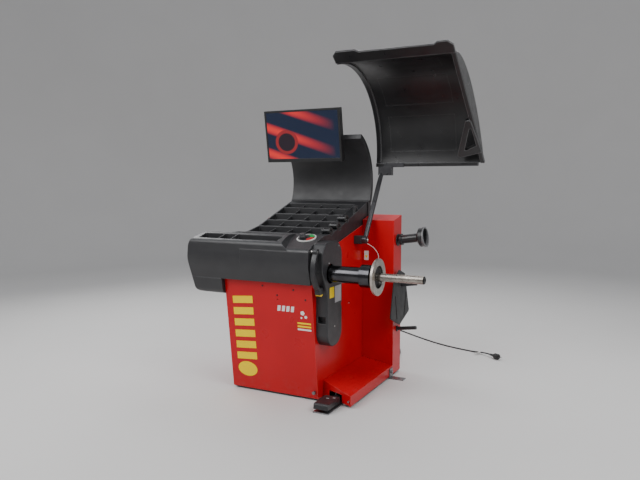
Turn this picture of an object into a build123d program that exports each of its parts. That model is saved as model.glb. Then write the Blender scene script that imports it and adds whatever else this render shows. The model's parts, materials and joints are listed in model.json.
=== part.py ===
from build123d import *
import math
import os

# A wheel balancer with a swinging wheel guard, in millimetres.
# While it is modelled, the origin is the foot of the cabinet's front right corner:
# X runs along the spindle towards the wheel, Y to the back and Z up from the floor.
# At the end everything is shifted so that the origin is the middle of the footprint.

# ---- driving dimensions
CABINET_WIDTH = 535
CABINET_DEPTH = 715
SHEET = 2
PANEL_FOOT = 12
PANEL_TOP = (-75, 626)
SIDE_WALL_FRONT = (-60, 752)
SIDE_WALL_BACK_Z = 929
STEP_WIDTH = 199
TOWER_FRONT = 586
TOWER_FRONT_Z = 930
TOWER_BACK_Z = 957

SPINDLE_Y = 15
SPINDLE_Z = 684
SPINDLE_RADIUS = 20
SPINDLE_END = 568
SEAT_RADIUS = 20.5
SEAT_END = 325
JOURNAL_RADIUS = 30
HUB_RADIUS = 43
COLLAR_RADIUS = 58
FLANGE_RADIUS = 93
FLANGE_FACE = 331
HOUSING_X = (-330, -40)
PULLEY_X = (-382, -352)
PULLEY_RADIUS = 72
MOTOR_Y = 190
MOTOR_Z = 470
MOTOR_PULLEY_RADIUS = 26

GUARD_PIVOT = (481, 820)
ARM_X = 59
ARM_RADIUS = 14
ARM_TOP = (752, 1228)
HOOD_X = (20, 650)
HOOD_CENTRE = (300, 1330)
HOOD_RADIUS = 468
HOOD_SKIN = 5
HOOD_TAPER = 8.5
HOOD_SPREAD = 1.6
HOOD_FRONT_ANGLE = 106
HOOD_BACK_ANGLE = -8
HOOD_LIP_Y = 744
HOOD_LIP_Z = 1246

GAUGE_Y = -100
GAUGE_Z = 806
GAUGE_ROD_RADIUS = 8

TRAY_SLOPE = 0.335
TRAY_X = (-530, -5)
TRAY_POCKETS_X = (-522, -66)
TRAY_BARS_Y = (143, 263, 356, 453, 553, 628)
POCKET_DEPTH = 36
RIB = 4
RAIL = 8
RAIL_RISE = 11

PANEL_ARC_CENTRE = (425, 1153)
PANEL_ARC_RADIUS = 275
PANEL_THICKNESS = 28

MONITOR_X = (-600, -94)
MONITOR_FOOT = (497, 1275)
MONITOR_HEIGHT = 311
MONITOR_THICKNESS = 38
MONITOR_TILT = 9

PEG_Y = 650
PEG_ANGLE = 8
PEG_HEIGHTS = (812, 541, 277)
PEG_RADIUS = 11
PEG_LENGTH = 125
PEG_NECK = 10

CORD_RADIUS = 4.5
CORD_ROUTE = (
    (120, 757, 90), (120, 800, 90), (116, 862, 56), (104, 930, 17), (84, 1040, 4.5),
    (44, 1158, 4.5), (-18, 1268, 4.5), (-100, 1362, 4.5), (-186, 1456, 4.5), (-256, 1562, 4.5),
    (-272, 1664, 4.5), (-214, 1718, 4.5), (-146, 1694, 4.5), (-58, 1630, 4.5), (48, 1552, 4.5),
    (156, 1480, 4.5), (246, 1428, 4.5), (338, 1386, 4.5), (430, 1356, 4.5), (515, 1334, 4.5),
    (594, 1290, 18.4), (634, 1262, 19),
)

nodes = {}
cord_nodes = ("power_cord", "power_plug", "cord_tag")


# ---- helpers
def outline(points, radius=0, inset=0):
    """A face over 2D points, shrunk by the inset, with one radius or one for each corner."""
    face = make_face(Polyline(*points, close=True))
    if inset:
        face = offset(face, amount=-inset, kind=Kind.INTERSECTION)
    radii = radius if isinstance(radius, tuple) else (radius,) * len(points)
    for point, wanted in zip(points, radii):
        if wanted > inset:
            corner = face.vertices().sort_by_distance(point)[0]
            face = fillet([corner], wanted - inset)
    return face


def prism_x(points, x_from, x_to, radius=0, inset=0):
    """A bar along X over an outline of (y, z) points."""
    face = Plane.YZ * outline(points, radius, inset)
    return Pos(x_from, 0, 0) * extrude(face, amount=x_to - x_from)


def prism_y(points, y_from, y_to, radius=0, inset=0):
    """A bar along Y over an outline of (x, z) points."""
    face = Plane.XZ * outline(points, radius, inset)
    return Pos(0, y_to, 0) * extrude(face, amount=y_to - y_from)


def prism_z(points, z_from, z_to, radius=0, inset=0):
    """A bar along Z over an outline of (x, y) points."""
    face = outline(points, radius, inset)
    return Pos(0, 0, z_from) * extrude(face, amount=z_to - z_from)


def block(x_from, x_to, y_from, y_to, z_from, z_to):
    """A box between two opposite corners."""
    centre = Pos((x_from + x_to) / 2, (y_from + y_to) / 2, (z_from + z_to) / 2)
    return centre * Box(x_to - x_from, y_to - y_from, z_to - z_from)


def rod(start, end, radius):
    """A round bar from one point to another."""
    along = Vector(*end) - Vector(*start)
    place = Plane(origin=start, z_dir=along)
    return place * Cylinder(radius, along.length, align=(Align.CENTER, Align.CENTER, Align.MIN))


def taper(start, end, start_radius, end_radius):
    """A cone frustum from one point to another."""
    along = Vector(*end) - Vector(*start)
    place = Plane(origin=start, z_dir=along)
    shape = Cone(start_radius, end_radius, along.length, align=(Align.CENTER, Align.CENTER, Align.MIN))
    return place * shape


def shaft(x_from, x_to, radius, y=SPINDLE_Y, z=SPINDLE_Z):
    """A round bar along X, on the spindle's axis unless another is given."""
    return rod((x_from, y, z), (x_to, y, z), radius)


def arc_point(centre, radius, degrees):
    """The (y, z) point of a circle at an angle from +Y."""
    angle = math.radians(degrees)
    return (centre[0] + radius * math.cos(angle), centre[1] + radius * math.sin(angle))


def bent_tube(points, radii, radius):
    """A round bar along straight runs joined by tangent arcs."""
    path = FilletPolyline(*points, radius=radii)
    section = Plane(origin=path @ 0, z_dir=path % 0) * Circle(radius)
    return sweep(section, path=path)


def keep(name, *shapes):
    """Store one node's solid, or its group of separate solids."""
    nodes[name] = Compound([solid for shape in shapes for solid in shape.solids()])


def wall_top(y):
    """Height of the side walls' sloping top edge."""
    slope = (SIDE_WALL_BACK_Z - SIDE_WALL_FRONT[1]) / (CABINET_DEPTH - SIDE_WALL_FRONT[0])
    return SIDE_WALL_FRONT[1] + slope * (y - SIDE_WALL_FRONT[0])


def tray_top(y):
    """Height of the weight tray's upper face."""
    if y < 143:
        return 872 + (y - 70) * 2 / 73
    if y < 263:
        return 874 + (y - 143) * 0.2
    return 898 + (y - 263) * TRAY_SLOPE


# ---- base, cabinet and guard tower
def base_frame():
    """The floor plate under cabinet, step and tower, with three upstands."""
    body = block(-531, -1, 6, 710, 7, 12)
    body += block(-1, 196, 72, 710, 7, 12)
    body += block(-531, -525, 20, 700, 12, 60)
    body += block(-520, -10, 660, 666, 12, 60)
    body += block(-520, -10, 30, 36, 12, 50)
    body -= block(-460, -120, 90, 600, 0, 30)
    body -= block(60, 122, 60, 122, 6, 13)
    body -= block(-350, -336, 0, 300, 11, 100) + block(-70, -56, 0, 220, 11, 100)
    keep("base_frame", body)


def floor_feet():
    """Rubber pads under the floor plate."""
    spots = ((-480, 60), (-480, 650), (-70, 60), (-70, 650), (160, 110), (150, 640))
    pads = [rod((x, y, 0), (x, y, 7), 28) for x, y in spots]
    keep("floor_feet", *pads)


def cabinet_shell():
    """The folded sheet body: a leaning front panel and two side walls."""
    foot = PANEL_FOOT
    depth = CABINET_DEPTH
    body = prism_x(((0, foot), PANEL_TOP, SIDE_WALL_FRONT, (depth, SIDE_WALL_BACK_Z), (depth, foot)),
                   -CABINET_WIDTH, 0)
    room = ((SHEET, 0), (PANEL_TOP[0] + SHEET, PANEL_TOP[1]), (SIDE_WALL_FRONT[0] + SHEET, 752),
            (SIDE_WALL_FRONT[0] + SHEET, 1000), (depth + 10, 1000), (depth + 10, 0))
    body -= prism_x(room, -CABINET_WIDTH + SHEET, -SHEET)
    ear = ((350, 840), (362, 920), (381, 936), (536, 978), (556, 965), (560, 885))
    body += prism_x(ear, -CABINET_WIDTH, -CABINET_WIDTH + SHEET)
    body -= shaft(-10, 10, HUB_RADIUS + 12)
    for x, z in ((-295, 608), (-108, 598), (-208, 563), (-207, 538), (-40, 550)):
        body -= rod((x, -100, z), (x, 0, z), 3)
    body -= rod((-10, 394, 464), (10, 394, 464), 7)
    body -= rod((-10, 150, 34), (10, 150, 34), 6)
    keep("cabinet_shell", body)


def rear_cover():
    """The back sheet with its rows of cooling slots, and its screws."""
    back = CABINET_DEPTH
    body = block(-531, -4, back - SHEET, back, 62, 916)
    for row in range(7):
        for x in (-360, -170):
            z = 240 + 24 * row
            body -= block(x - 60, x + 60, back - 10, back + 10, z, z + 8)
    body -= block(-448, -432, back - 10, back + 10, 149, 171)
    keep("rear_cover", body)


def step_cover():
    """The low wedge in front of the tower, open underneath and slotted for the pedal."""
    def wedge(inset):
        side = prism_y(((1 + inset, 0), (STEP_WIDTH - inset, 0), (STEP_WIDTH - inset, 66 - inset),
                        (1 + inset, 98 - inset)), -60, TOWER_FRONT - 1 - inset)
        plan = prism_z(((1 + inset, 63 + 1.1 * inset), (STEP_WIDTH - inset, -27 + 1.1 * inset),
                        (STEP_WIDTH - inset, 700), (1 + inset, 700)), PANEL_FOOT, 200)
        return side & plan
    body = wedge(0) - wedge(SHEET) - Pos(100, 250, PANEL_FOOT) * Box(180, 560, 4)
    body -= block(44, 138, -40, 90, 0, 56) + rod((-5, 150, 34), (10, 150, 34), 6)
    keep("step_cover", body)


def guard_tower():
    """The upright box that carries the storage pegs, open at its foot."""
    front = TOWER_FRONT
    back = CABINET_DEPTH
    body = prism_x(((front, PANEL_FOOT), (front, TOWER_FRONT_Z), (700, TOWER_BACK_Z), (back, TOWER_BACK_Z),
                    (back, PANEL_FOOT)), 1, STEP_WIDTH)
    body -= prism_x(((front + SHEET, 0), (front + SHEET, TOWER_FRONT_Z - SHEET), (700, TOWER_BACK_Z - SHEET),
                     (back - SHEET, TOWER_BACK_Z - SHEET), (back - SHEET, 0)), 1 + SHEET, STEP_WIDTH - SHEET)
    body -= rod((120, 700, 90), (120, 730, 90), 10)
    body -= rod((109, 580, 598), (109, 600, 598), 3)
    for z in PEG_HEIGHTS:
        body -= rod((190, PEG_Y, z), (210, PEG_Y, z), 6)
    keep("guard_tower", body)


def fasteners():
    """The angle bracket that ties the machine down, the bolts and the cover screws."""
    x = STEP_WIDTH + 0.5
    body = prism_y(((x, 0), (x + 86, 0), (x + 86, 5), (x + 5, 5), (x + 5, 58), (x, 58)), 528, 576)
    body -= rod((x + 52, 552, -5), (x + 52, 552, 10), 7)
    keep("anchor_bracket", body)
    back = CABINET_DEPTH
    screws = [rod((x, back, z), (x, back + 4, z), 7) for x in (-518, -17) for z in (80, 480, 900)]
    side_bolt = rod((x + 5, 552, 38), (x + 13, 552, 38), 9)
    corner_bolt = rod((-18, -21, 48), (-18, -8, 48), 9)
    step_screw = rod((186, -30, 36), (186, -23.6, 36), 5)
    keep("screws_and_bolts", side_bolt, corner_bolt, step_screw, *screws)


# ---- head, tray and upright panel
NOSE_TOP_SLOPE = 0.279
CONSOLE_SLOPE = 16
KNOB_PLACE = (-18, -6, 0)


def nose_top(y):
    """Height of the nose bar's upper face."""
    return 849 + (y + 104) * NOSE_TOP_SLOPE


def console_top(y):
    """Height of the console's upper face."""
    return 822 + (y + 106) * math.tan(math.radians(CONSOLE_SLOPE))


def head_skin(inset):
    """The head cover's outer form, or the room inside it when it is inset."""
    bulge = 240
    nose = ((-104, 634), (-134, 735), (-124, nose_top(-124)), (0, 878), (70, 878), (70, 634))
    console = ((-104, 634), (-134, 735), (-128, console_top(-128)), (70, console_top(70)), (70, 634))
    end = ((-734, 634), (-744, 735), (-741, 812), (-716, 876), (9, 950), (9, 634))
    plan = ((-752, -150), (9, -150), (9, -88), (0, -88), (0, 68), (-541, 68), (-541, -2), (-752, -2))
    shoulder = ((-760, 500), (-760, 1000), (-200, 1000), (-166, 858), (-108, 806), (-108, 500))
    high = prism_x(nose, -760, -100, (0, bulge, 26, 30, 0, 0), inset)
    high &= prism_y(shoulder, -200, 200, (0, 0, 0, 30, 0, 0), inset)
    low = prism_x(console, -400, 20, (0, bulge, 24, 0, 0), inset)
    side = prism_y(end, -200, 200, (0, 120, 40, 24, 0, 0), inset)
    return (high + low) & side & prism_z(plan, 500, 1000, 0, inset)


def head_cover():
    """The upper moulding: nose bar with its trough, deck and the lower console at its right."""
    body = head_skin(0) - head_skin(4) - Pos(0, 0, -3.9) * head_skin(4)
    trough = ((-98, nose_top(-98) - 2), (-20, nose_top(-20) - 2), (-20, nose_top(-20) - 34),
              (-98, nose_top(-98) - 34))
    body += prism_x(trough, -694, -186)
    pocket = ((-94, nose_top(-94) + 9), (-24, nose_top(-24) + 9), (-24, nose_top(-24) - 30),
              (-94, nose_top(-94) - 30))
    for x_from, x_to in ((-690, -562), (-558, -480), (-476, -190)):
        body -= prism_x(pocket, x_from, x_to)
    body += block(-529, -186, 6, 62, 850, 876)
    body -= block(-525, -190, 10, 58, 854, 900)
    body -= block(-538, 1, -79, 80, 600, 788)
    body -= shaft(-20, 20, GAUGE_ROD_RADIUS + 0.4, GAUGE_Y, GAUGE_Z)
    body -= console_plane() * Pos(*KNOB_PLACE) * Cylinder(5, 30)
    keep("head_cover", body)


def head_tub():
    """The lower half of the overhanging end of the nose bar."""
    def form(inset):
        across = ((-104, 633), (-90, 548), (-8, 545), (-3, 633))
        side = prism_x(across, -760, -537 - inset, (0, 36, 12, 0), inset)
        length = ((-734, 633), (-717, 551), (-530, 545), (-530, 633))
        return side & prism_y(length, -200, 100, (0, 34, 0, 0), inset)
    keep("head_tub", form(0) - form(4) - Pos(0, 0, 5) * form(4))


def weight_tray():
    """The sloping moulding with its grid of pockets for balance weights."""
    left, right = TRAY_X
    back = 670
    tops = [(y, tray_top(y)) for y in (70, 143, 263, back)]
    body = prism_x([(back, wall_top(back) - 8), (70, wall_top(70) - 8)] + tops, left, right)
    under = [(y, tray_top(y) - POCKET_DEPTH - 4) for y in (74, 143, 263, back - 4)]
    body -= prism_x([(back - 4, 700), (74, 700)] + under, left + 4, right - 4)
    x_first, x_last = TRAY_POCKETS_X
    pitch = (x_last - x_first) / 4
    for y_from, y_to in zip(TRAY_BARS_Y, TRAY_BARS_Y[1:]):
        low, high = y_from + RAIL / 2, y_to - RAIL / 2
        depth = POCKET_DEPTH
        sides = ((low, tray_top(low) - depth), (high, tray_top(high) - depth), (high, tray_top(high) + 20),
                 (low, tray_top(low) + 20))
        for column in range(4):
            x_from = x_first + pitch * column + RIB / 2
            body -= prism_x(sides, x_from, x_from + pitch - RIB)
        sunk = ((low, tray_top(low) - RAIL_RISE), (high, tray_top(high) - RAIL_RISE),
                (high, tray_top(high) + 20), (low, tray_top(low) + 20))
        body -= prism_x(sunk, x_first + RIB / 2, x_last - RIB / 2)
    for y, radius in COLLETS:
        body -= shaft(-62, -3, radius + 8.4, y, tray_top(y) + COLLET_LIFT)
        body += shaft(-63, -44, radius - 6, y, tray_top(y) + COLLET_LIFT)
        body += block(-66, -58, y - 8, y + 8, tray_top(y) - 8, tray_top(y) + COLLET_LIFT + 4)
    hook = ((488, -8), (500, -8), (500, 30), (520, 30), (520, 16), (530, 16), (530, 42), (488, 42))
    body += Pos(0, 0, tray_top(488)) * prism_x(hook, -20, -8)
    keep("weight_tray", body)


COLLETS = ((168, 15), (266, 18), (372, 16))
COLLET_LIFT = 12


def collets():
    """Three spare centring collets lying in the tray's right edge, each with a rubber ring."""
    sleeves = []
    rings = []
    for y, radius in COLLETS:
        z = tray_top(y) + COLLET_LIFT
        sleeves.append(shaft(-52, -12.5, radius, y, z) - shaft(-60, 0, radius - 5.5, y, z))
        rings.append(shaft(-12.5, -6, radius + 6, y, z) - shaft(-60, 10, radius - 5, y, z))
    keep("collets", *sleeves)
    keep("collet_rings", *rings)


def back_panel():
    """The scooped upright panel behind the tray, with its skirt down to the side walls."""
    def band(inner, outer, from_angle, to_angle, x_from, x_to):
        middle = (from_angle + to_angle) / 2
        near = [arc_point(PANEL_ARC_CENTRE, inner, angle) for angle in (from_angle, middle, to_angle)]
        far = [arc_point(PANEL_ARC_CENTRE, outer, angle) for angle in (to_angle, middle, from_angle)]
        edges = [ThreePointArc(*near), Line(near[2], far[0]), ThreePointArc(*far), Line(far[2], near[0])]
        return Pos(x_from, 0, 0) * extrude(Plane.YZ * make_face(edges), amount=x_to - x_from)
    inner = PANEL_ARC_RADIUS
    outer = inner + PANEL_THICKNESS
    body = band(inner, outer, -24, 67, -CABINET_WIDTH, 8)
    body -= band(inner + 4, outer + 9, -21, 64, -CABINET_WIDTH + 5, 3)
    skirt = ((673, 930), (714, 930), (714, 1030), (704, 1034), (679, 1045), (673, 1040))
    body += prism_x(skirt, -CABINET_WIDTH, 0) - prism_x(((677, 920), (710, 920), (710, 1020), (677, 1030)),
                                                        -CABINET_WIDTH + 4, -4)
    keep("back_panel", body)


# ---- monitor
def monitor_plane():
    """Lower front edge of the monitor: local x to the right, y to the back, z up its face."""
    lean = math.radians(MONITOR_TILT)
    return Plane(origin=(0, *MONITOR_FOOT), x_dir=(1, 0, 0), z_dir=(0, -math.sin(lean), math.cos(lean)))


MONITOR_HINGE = (60, 78)


def monitor_hinge_point():
    """The tilt hinge's (y, z) in the machine."""
    spot = monitor_plane().from_local_coords(Vector(0, *MONITOR_HINGE))
    return (spot.Y, spot.Z)


def monitor():
    """Housing with its two hinge ears, screen, and the arm on the back panel with the hinge pin."""
    left, right = MONITOR_X
    place = monitor_plane()
    high = MONITOR_HEIGHT
    thick = MONITOR_THICKNESS
    housing = block(left, right, 0, thick, 0, high)
    housing -= block(left + 12, right - 12, -1, 4, 20, high - 12)
    housing -= block(left + 4, right - 4, 6, thick - 4, 4, high - 4)
    keep("monitor_screen", place * block(left + 12.5, right - 12.5, 1.2, 4, 20.5, high - 12.5))
    middle = (left + right) / 2
    hinge_y, hinge_z = MONITOR_HINGE
    housing += block(middle - 60, middle + 60, thick, thick + 4, 30, 150)
    for x in (middle - 34, middle + 26):
        housing += block(x, x + 8, thick + 4, hinge_y, hinge_z - 14, hinge_z + 14)
        housing += rod((x, hinge_y, hinge_z), (x + 8, hinge_y, hinge_z), 14)
    housing -= rod((middle - 40, hinge_y, hinge_z), (middle + 40, hinge_y, hinge_z), 5.05)
    keep("monitor_housing", place * housing)
    y, z = monitor_hinge_point()
    scoop = shaft(middle - 100, middle + 100, PANEL_ARC_RADIUS, *PANEL_ARC_CENTRE)
    fill = shaft(middle - 100, middle + 100, PANEL_ARC_RADIUS - 8, *PANEL_ARC_CENTRE)
    base = block(middle - 45, middle + 45, 560, 720, z - 60, z + 40) & (scoop - fill)
    arm = block(middle - 25, middle + 25, y, 690, z - 12, z + 12) & scoop
    arm += rod((middle - 25, y, z), (middle + 25, y, z), 12)
    arm += rod((middle - 40, y, z), (middle + 40, y, z), 5)
    keep("monitor_arm", arm + base)


# ---- console
def console_plane():
    """The control ring's centre on the sloping console."""
    lean = math.radians(CONSOLE_SLOPE)
    y = 24
    normal = (0, -math.sin(lean), math.cos(lean))
    return Plane(origin=(-80, y, console_top(y) + 0.2), x_dir=(1, 0, 0), z_dir=normal)


def sector(inner, outer, from_angle, to_angle, bottom, top):
    """A piece of a ring around local Z."""
    def at(radius, degrees):
        angle = math.radians(degrees)
        return (radius * math.cos(angle), radius * math.sin(angle))
    middle = (from_angle + to_angle) / 2
    near = [at(inner, angle) for angle in (from_angle, middle, to_angle)]
    far = [at(outer, angle) for angle in (to_angle, middle, from_angle)]
    edges = [ThreePointArc(*near), Line(near[2], far[0]), ThreePointArc(*far), Line(far[2], near[0])]
    return Pos(0, 0, bottom) * extrude(make_face(edges), amount=top - bottom)


def console():
    """Control ring, start and stop buttons and the selector knob."""
    place = console_plane()
    ring = Pos(0, 0, 3) * Cylinder(52, 6)
    ring -= sector(21.5, 46.5, 14, 86, -1, 10) + sector(21.5, 46.5, -66, 4, -1, 10)
    ring -= Pos(*KNOB_PLACE) * Cylinder(5, 20)
    keep("control_ring", place * ring)
    keep("start_button", place * sector(22, 46, 15, 85, 2.6, 8))
    keep("stop_button", place * sector(22, 46, -65, 3, 2.6, 8))
    stem = Pos(*KNOB_PLACE) * Cylinder(3, 32)
    keep("knob_shaft", place * stem)
    grip = Pos(0, 0, 13) * Cylinder(20, 10) + Pos(0, 0, 24) * Cone(18, 14, 12)
    grip -= Pos(0, 0, 8) * Cylinder(3.04, 16)
    keep("control_knob", place * Pos(*KNOB_PLACE) * grip)


# ---- spindle, drive and brake
def spindle_group():
    """Everything that turns with the wheel."""
    body = shaft(-392, 60, JOURNAL_RADIUS) + shaft(60, SEAT_END, SEAT_RADIUS)
    body += shaft(SEAT_END, SEAT_END + 1, SPINDLE_RADIUS - 1)
    body += shaft(SEAT_END + 1, SPINDLE_END - 4, SPINDLE_RADIUS)
    body += taper((SPINDLE_END - 4, SPINDLE_Y, SPINDLE_Z), (SPINDLE_END, SPINDLE_Y, SPINDLE_Z), 20, 16)
    body -= shaft(SPINDLE_END - 30, SPINDLE_END + 5, 8)
    keep("spindle", body)
    hub = shaft(6, 306, HUB_RADIUS) + shaft(242, 296, COLLAR_RADIUS)
    keep("hub_sleeve", hub - shaft(5, 60, JOURNAL_RADIUS) - shaft(60, 310, SEAT_RADIUS))
    disc = shaft(306, 320, 64) + shaft(320, FLANGE_FACE, FLANGE_RADIUS)
    disc += taper((315, SPINDLE_Y, SPINDLE_Z), (320, SPINDLE_Y, SPINDLE_Z), 86, FLANGE_RADIUS)
    disc -= shaft(318, 340, 57) + shaft(300, 340, SEAT_RADIUS)
    keep("wheel_flange", disc)
    x_from, x_to = PULLEY_X
    pulley = shaft(x_from, x_to, PULLEY_RADIUS) - shaft(x_from, x_from + 8, PULLEY_RADIUS - 10)
    pulley += shaft(x_from, x_to, JOURNAL_RADIUS + 12)
    keep("spindle_pulley", pulley - shaft(x_from - 5, x_to + 5, JOURNAL_RADIUS))
    keep("encoder_disc", shaft(-390, -387, 60) - shaft(-395, -380, JOURNAL_RADIUS))
    keep("brake_disc", shaft(-30, -25, 72) - shaft(-35, -20, JOURNAL_RADIUS))


def spindle_housing():
    """The bearing tube, its two bearings and the force sensors under it."""
    x_from, x_to = HOUSING_X
    tube = shaft(x_from, x_to, 52) - shaft(x_from - 1, x_from + 22, 44) - shaft(x_to - 22, x_to + 1, 44)
    keep("spindle_housing", tube - shaft(x_from - 1, x_to + 1, 36))
    races = []
    for x in (x_from, x_to - 22):
        races.append(shaft(x, x + 22, 44) - shaft(x - 1, x + 23, JOURNAL_RADIUS + 0.04))
    keep("spindle_bearings", *races)
    discs = [rod((x, SPINDLE_Y, SPINDLE_Z - 62), (x, SPINDLE_Y, SPINDLE_Z - 52), 13) for x in (-240, -120)]
    keep("force_sensors", *discs)


def inner_frame():
    """The welded plates that carry the spindle housing and the motor."""
    bottom = 12
    left = prism_x(((8, bottom), (280, bottom), (280, 540), (110, 750), (-52, 750), (-50, 620)), -346, -340)
    left -= shaft(-350, -330, 60) + shaft(-350, -330, 30, MOTOR_Y, MOTOR_Z)
    right = prism_x(((8, bottom), (200, bottom), (90, 750), (-52, 750), (-50, 620)), -66, -60)
    right -= shaft(-70, -50, 52.05)
    shelf = block(-340, -66, SPINDLE_Y - 45, SPINDLE_Y + 45, 610, SPINDLE_Z - 62)
    tie = block(-340, -66, 150, 180, 120, 130)
    keep("inner_frame", left + right + shelf + tie)


def drive():
    """Motor, its pulley and the belt up to the spindle."""
    body = shaft(-339, -210, 62, MOTOR_Y, MOTOR_Z) - shaft(-345, -300, 10, MOTOR_Y, MOTOR_Z)
    for number in range(8):
        angle = math.radians(22.5 + 45 * number)
        fin_y = MOTOR_Y + 64 * math.cos(angle)
        fin_z = MOTOR_Z + 64 * math.sin(angle)
        body += shaft(-330, -220, 5, fin_y, fin_z)
    keep("drive_motor", body)
    x_from, x_to = PULLEY_X
    pulley = shaft(x_from, x_to, MOTOR_PULLEY_RADIUS, MOTOR_Y, MOTOR_Z)
    keep("motor_pulley", pulley + shaft(x_from - 6, -302, 9, MOTOR_Y, MOTOR_Z))
    rings = []
    for grow in (0.4, 3.9):
        big = Pos(SPINDLE_Y, SPINDLE_Z) * Circle(PULLEY_RADIUS + grow)
        small = Pos(MOTOR_Y, MOTOR_Z) * Circle(MOTOR_PULLEY_RADIUS + grow)
        hull = Plane.YZ * make_hull(big.edges() + small.edges())
        rings.append(Pos(x_from + 5, 0, 0) * extrude(hull, amount=x_to - x_from - 10))
    keep("drive_belt", rings[1] - rings[0])


def brake():
    """The spindle brake: caliper, its moving pad and the cable from the pedal."""
    body = block(-40, -8, 66, 112, 660, 708)
    body -= block(-32, -17.9, 60, 92.5, 655, 715)
    body += block(-58, -40, 70, 112, 660, 708)
    keep("brake_caliper", body)
    keep("brake_pad", block(-23, -18, 70, 92, 664, 704))
    points = ((96, 106.5, 30), (72, 140, 32), (30, 150, 34), (-24, 150, 34), (-34, 150, 60), (-34, 132, 180),
              (-30, 104, 420), (-26, 100, 560), (-26, 100, 660))
    keep("brake_cable", bent_tube(points, (30, 40, 14, 14, 60, 120, 200), 3))


def pedal():
    """Brake pedal, and its floor plate with the pin it turns on."""
    base = block(48, 134, -156, 60, 0, 6) + block(64, 118, 60, 118, 0, 6.9)
    for x in (64, 112):
        base += prism_x(((66, 0), (118, 0), (104, 42), (80, 42)), x, x + 6)
    keep("pedal_base", base + shaft(62, 120, 5, 92, 30))
    plate = prism_x(((-153, 20), (-150, 42), (-142, 48), (-12, 48), (-8, 20)), 50, 132)
    plate -= block(54, 128, -148, -12, 10, 43)
    plate += block(78, 104, -14, 84, 24, 36)
    plate += shaft(72, 110, 12, 92, 30)
    keep("brake_pedal", plate - shaft(60, 122, 5.05, 92, 30))


def electronics():
    """Power supply, circuit board and mains switch."""
    keep("power_supply", block(-505, -400, 330, 560, 60.5, 150))
    board = block(-520, -518, 300, 600, 190, 420)
    for y in (315, 585):
        for z in (205, 405):
            board += rod((-533, y, z), (-520, y, z), 4)
    board += block(-518, -498, 340, 420, 220, 300) + block(-518, -506, 450, 570, 320, 380)
    keep("circuit_board", board)
    back = CABINET_DEPTH
    rocker = block(-447.5, -432.5, 700, back + 6, 149.5, 170.5)
    rocker -= block(-450, -430, back + 2, back + 9, 161, 173)
    keep("mains_switch", rocker)


# ---- shaft cover and distance gauge
def shaft_cover():
    """The D-shaped moulding on the side wall around the spindle."""
    corners = ((-82, 700), (-24, 585), (-24, 294), (152, 294), (152, 853), (-40, 846), (-82, 796))
    radii = (40, 40, 82, 82, 84, 36, 24)
    body = prism_x(corners, 0, 66, radii)
    body = fillet(body.faces().sort_by(Axis.X)[-1].edges(), 5)
    body -= prism_x(corners, -2, 62, radii, 4)
    body += block(6, 60, -21, 10, 420, 467)
    body -= block(10, 56, -30, 6, 425, 462)
    body -= shaft(50, 80, HUB_RADIUS + 8) + rod((0, 152, 505), (80, 152, 505), 12)
    keep("shaft_cover", body)


def gauge():
    """The pull-out gauge that touches the rim: rod, lever, slide and rail."""
    rod_end = shaft(-330, 50, GAUGE_ROD_RADIUS, GAUGE_Y, GAUGE_Z)
    rod_end += shaft(-328, -324, 10, GAUGE_Y, GAUGE_Z) + shaft(-292, -288, 10, GAUGE_Y, GAUGE_Z)
    keep("gauge_rod", rod_end)
    slide = block(-323.5, -292.5, -108.4, -80, 768, 810)
    slide -= shaft(-330, -290, GAUGE_ROD_RADIUS + 0.05, GAUGE_Y, GAUGE_Z) + shaft(-330, -290, 6.1, -96, 777)
    keep("gauge_slide", slide)
    rail = shaft(-336, -8, 6, -96, 777)
    keep("gauge_rail", rail + block(-342, -336, -108, -84, 765, 789) + block(-8, -2, -108, -92, 765, 789))
    centre = (9, 716)
    near = [arc_point(centre, 130, angle) for angle in (143, 190, 238)]
    far = [arc_point(centre, 144, angle) for angle in (238, 190, 143)]
    edges = [ThreePointArc(*near), Line(near[2], far[0]), ThreePointArc(*far), Line(far[2], near[0])]
    lever = Pos(24, 0, 0) * extrude(Plane.YZ * make_face(edges), amount=26)
    tip_y, tip_z = arc_point(centre, 137, 239)
    lever += shaft(24, 50, 23, tip_y, tip_z) + shaft(24, 50, 15, GAUGE_Y, GAUGE_Z)
    lever -= shaft(20, 60, GAUGE_ROD_RADIUS, GAUGE_Y, GAUGE_Z)
    keep("gauge_lever", lever)


# ---- wheel guard
def guard_arm():
    """Hinge block on the side wall and the swinging arm with its stub shaft and hood clamp."""
    y, z = GUARD_PIVOT
    housing = prism_x(((y - 24, z - 24), (y + 24, z - 24), (y + 24, z + 24), (y - 24, z + 24)), 0, 44, 6)
    keep("guard_hinge_block", housing - shaft(4, 50, 10.05, y, z))
    top_y, top_z = ARM_TOP
    arm = shaft(6, 46, 10, y, z) + shaft(45, 73, 22, y, z) + shaft(73, 78, 12, y, z)
    arm += rod((ARM_X, y, z), (ARM_X, top_y, top_z), ARM_RADIUS)
    arm += block(42, 124, top_y - 27, top_y + 13, top_z - 34, HOOD_LIP_Z)
    arm += block(72, 200, HOOD_LIP_Y - 6, HOOD_LIP_Y, HOOD_LIP_Z - 3, HOOD_LIP_Z + 22)
    keep("guard_arm", arm)


def hood_frame():
    """Mouth corner of the hood: local x along the spindle, y into the bowl, z along the mouth."""
    front = arc_point(HOOD_CENTRE, HOOD_RADIUS, HOOD_FRONT_ANGLE)
    back = arc_point(HOOD_CENTRE, HOOD_RADIUS, HOOD_BACK_ANGLE)
    along = Vector(0, front[0] - back[0], front[1] - back[1])
    return Plane(origin=(0, *front), x_dir=(1, 0, 0), z_dir=along)


def spread_frame(x_to):
    """The hood frame turned so that its right wall spreads outwards along the mouth."""
    return hood_frame() * (Pos(x_to, 0, 0) * Rot(0, -HOOD_SPREAD, 0) * Pos(-x_to, 0, 0))


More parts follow.
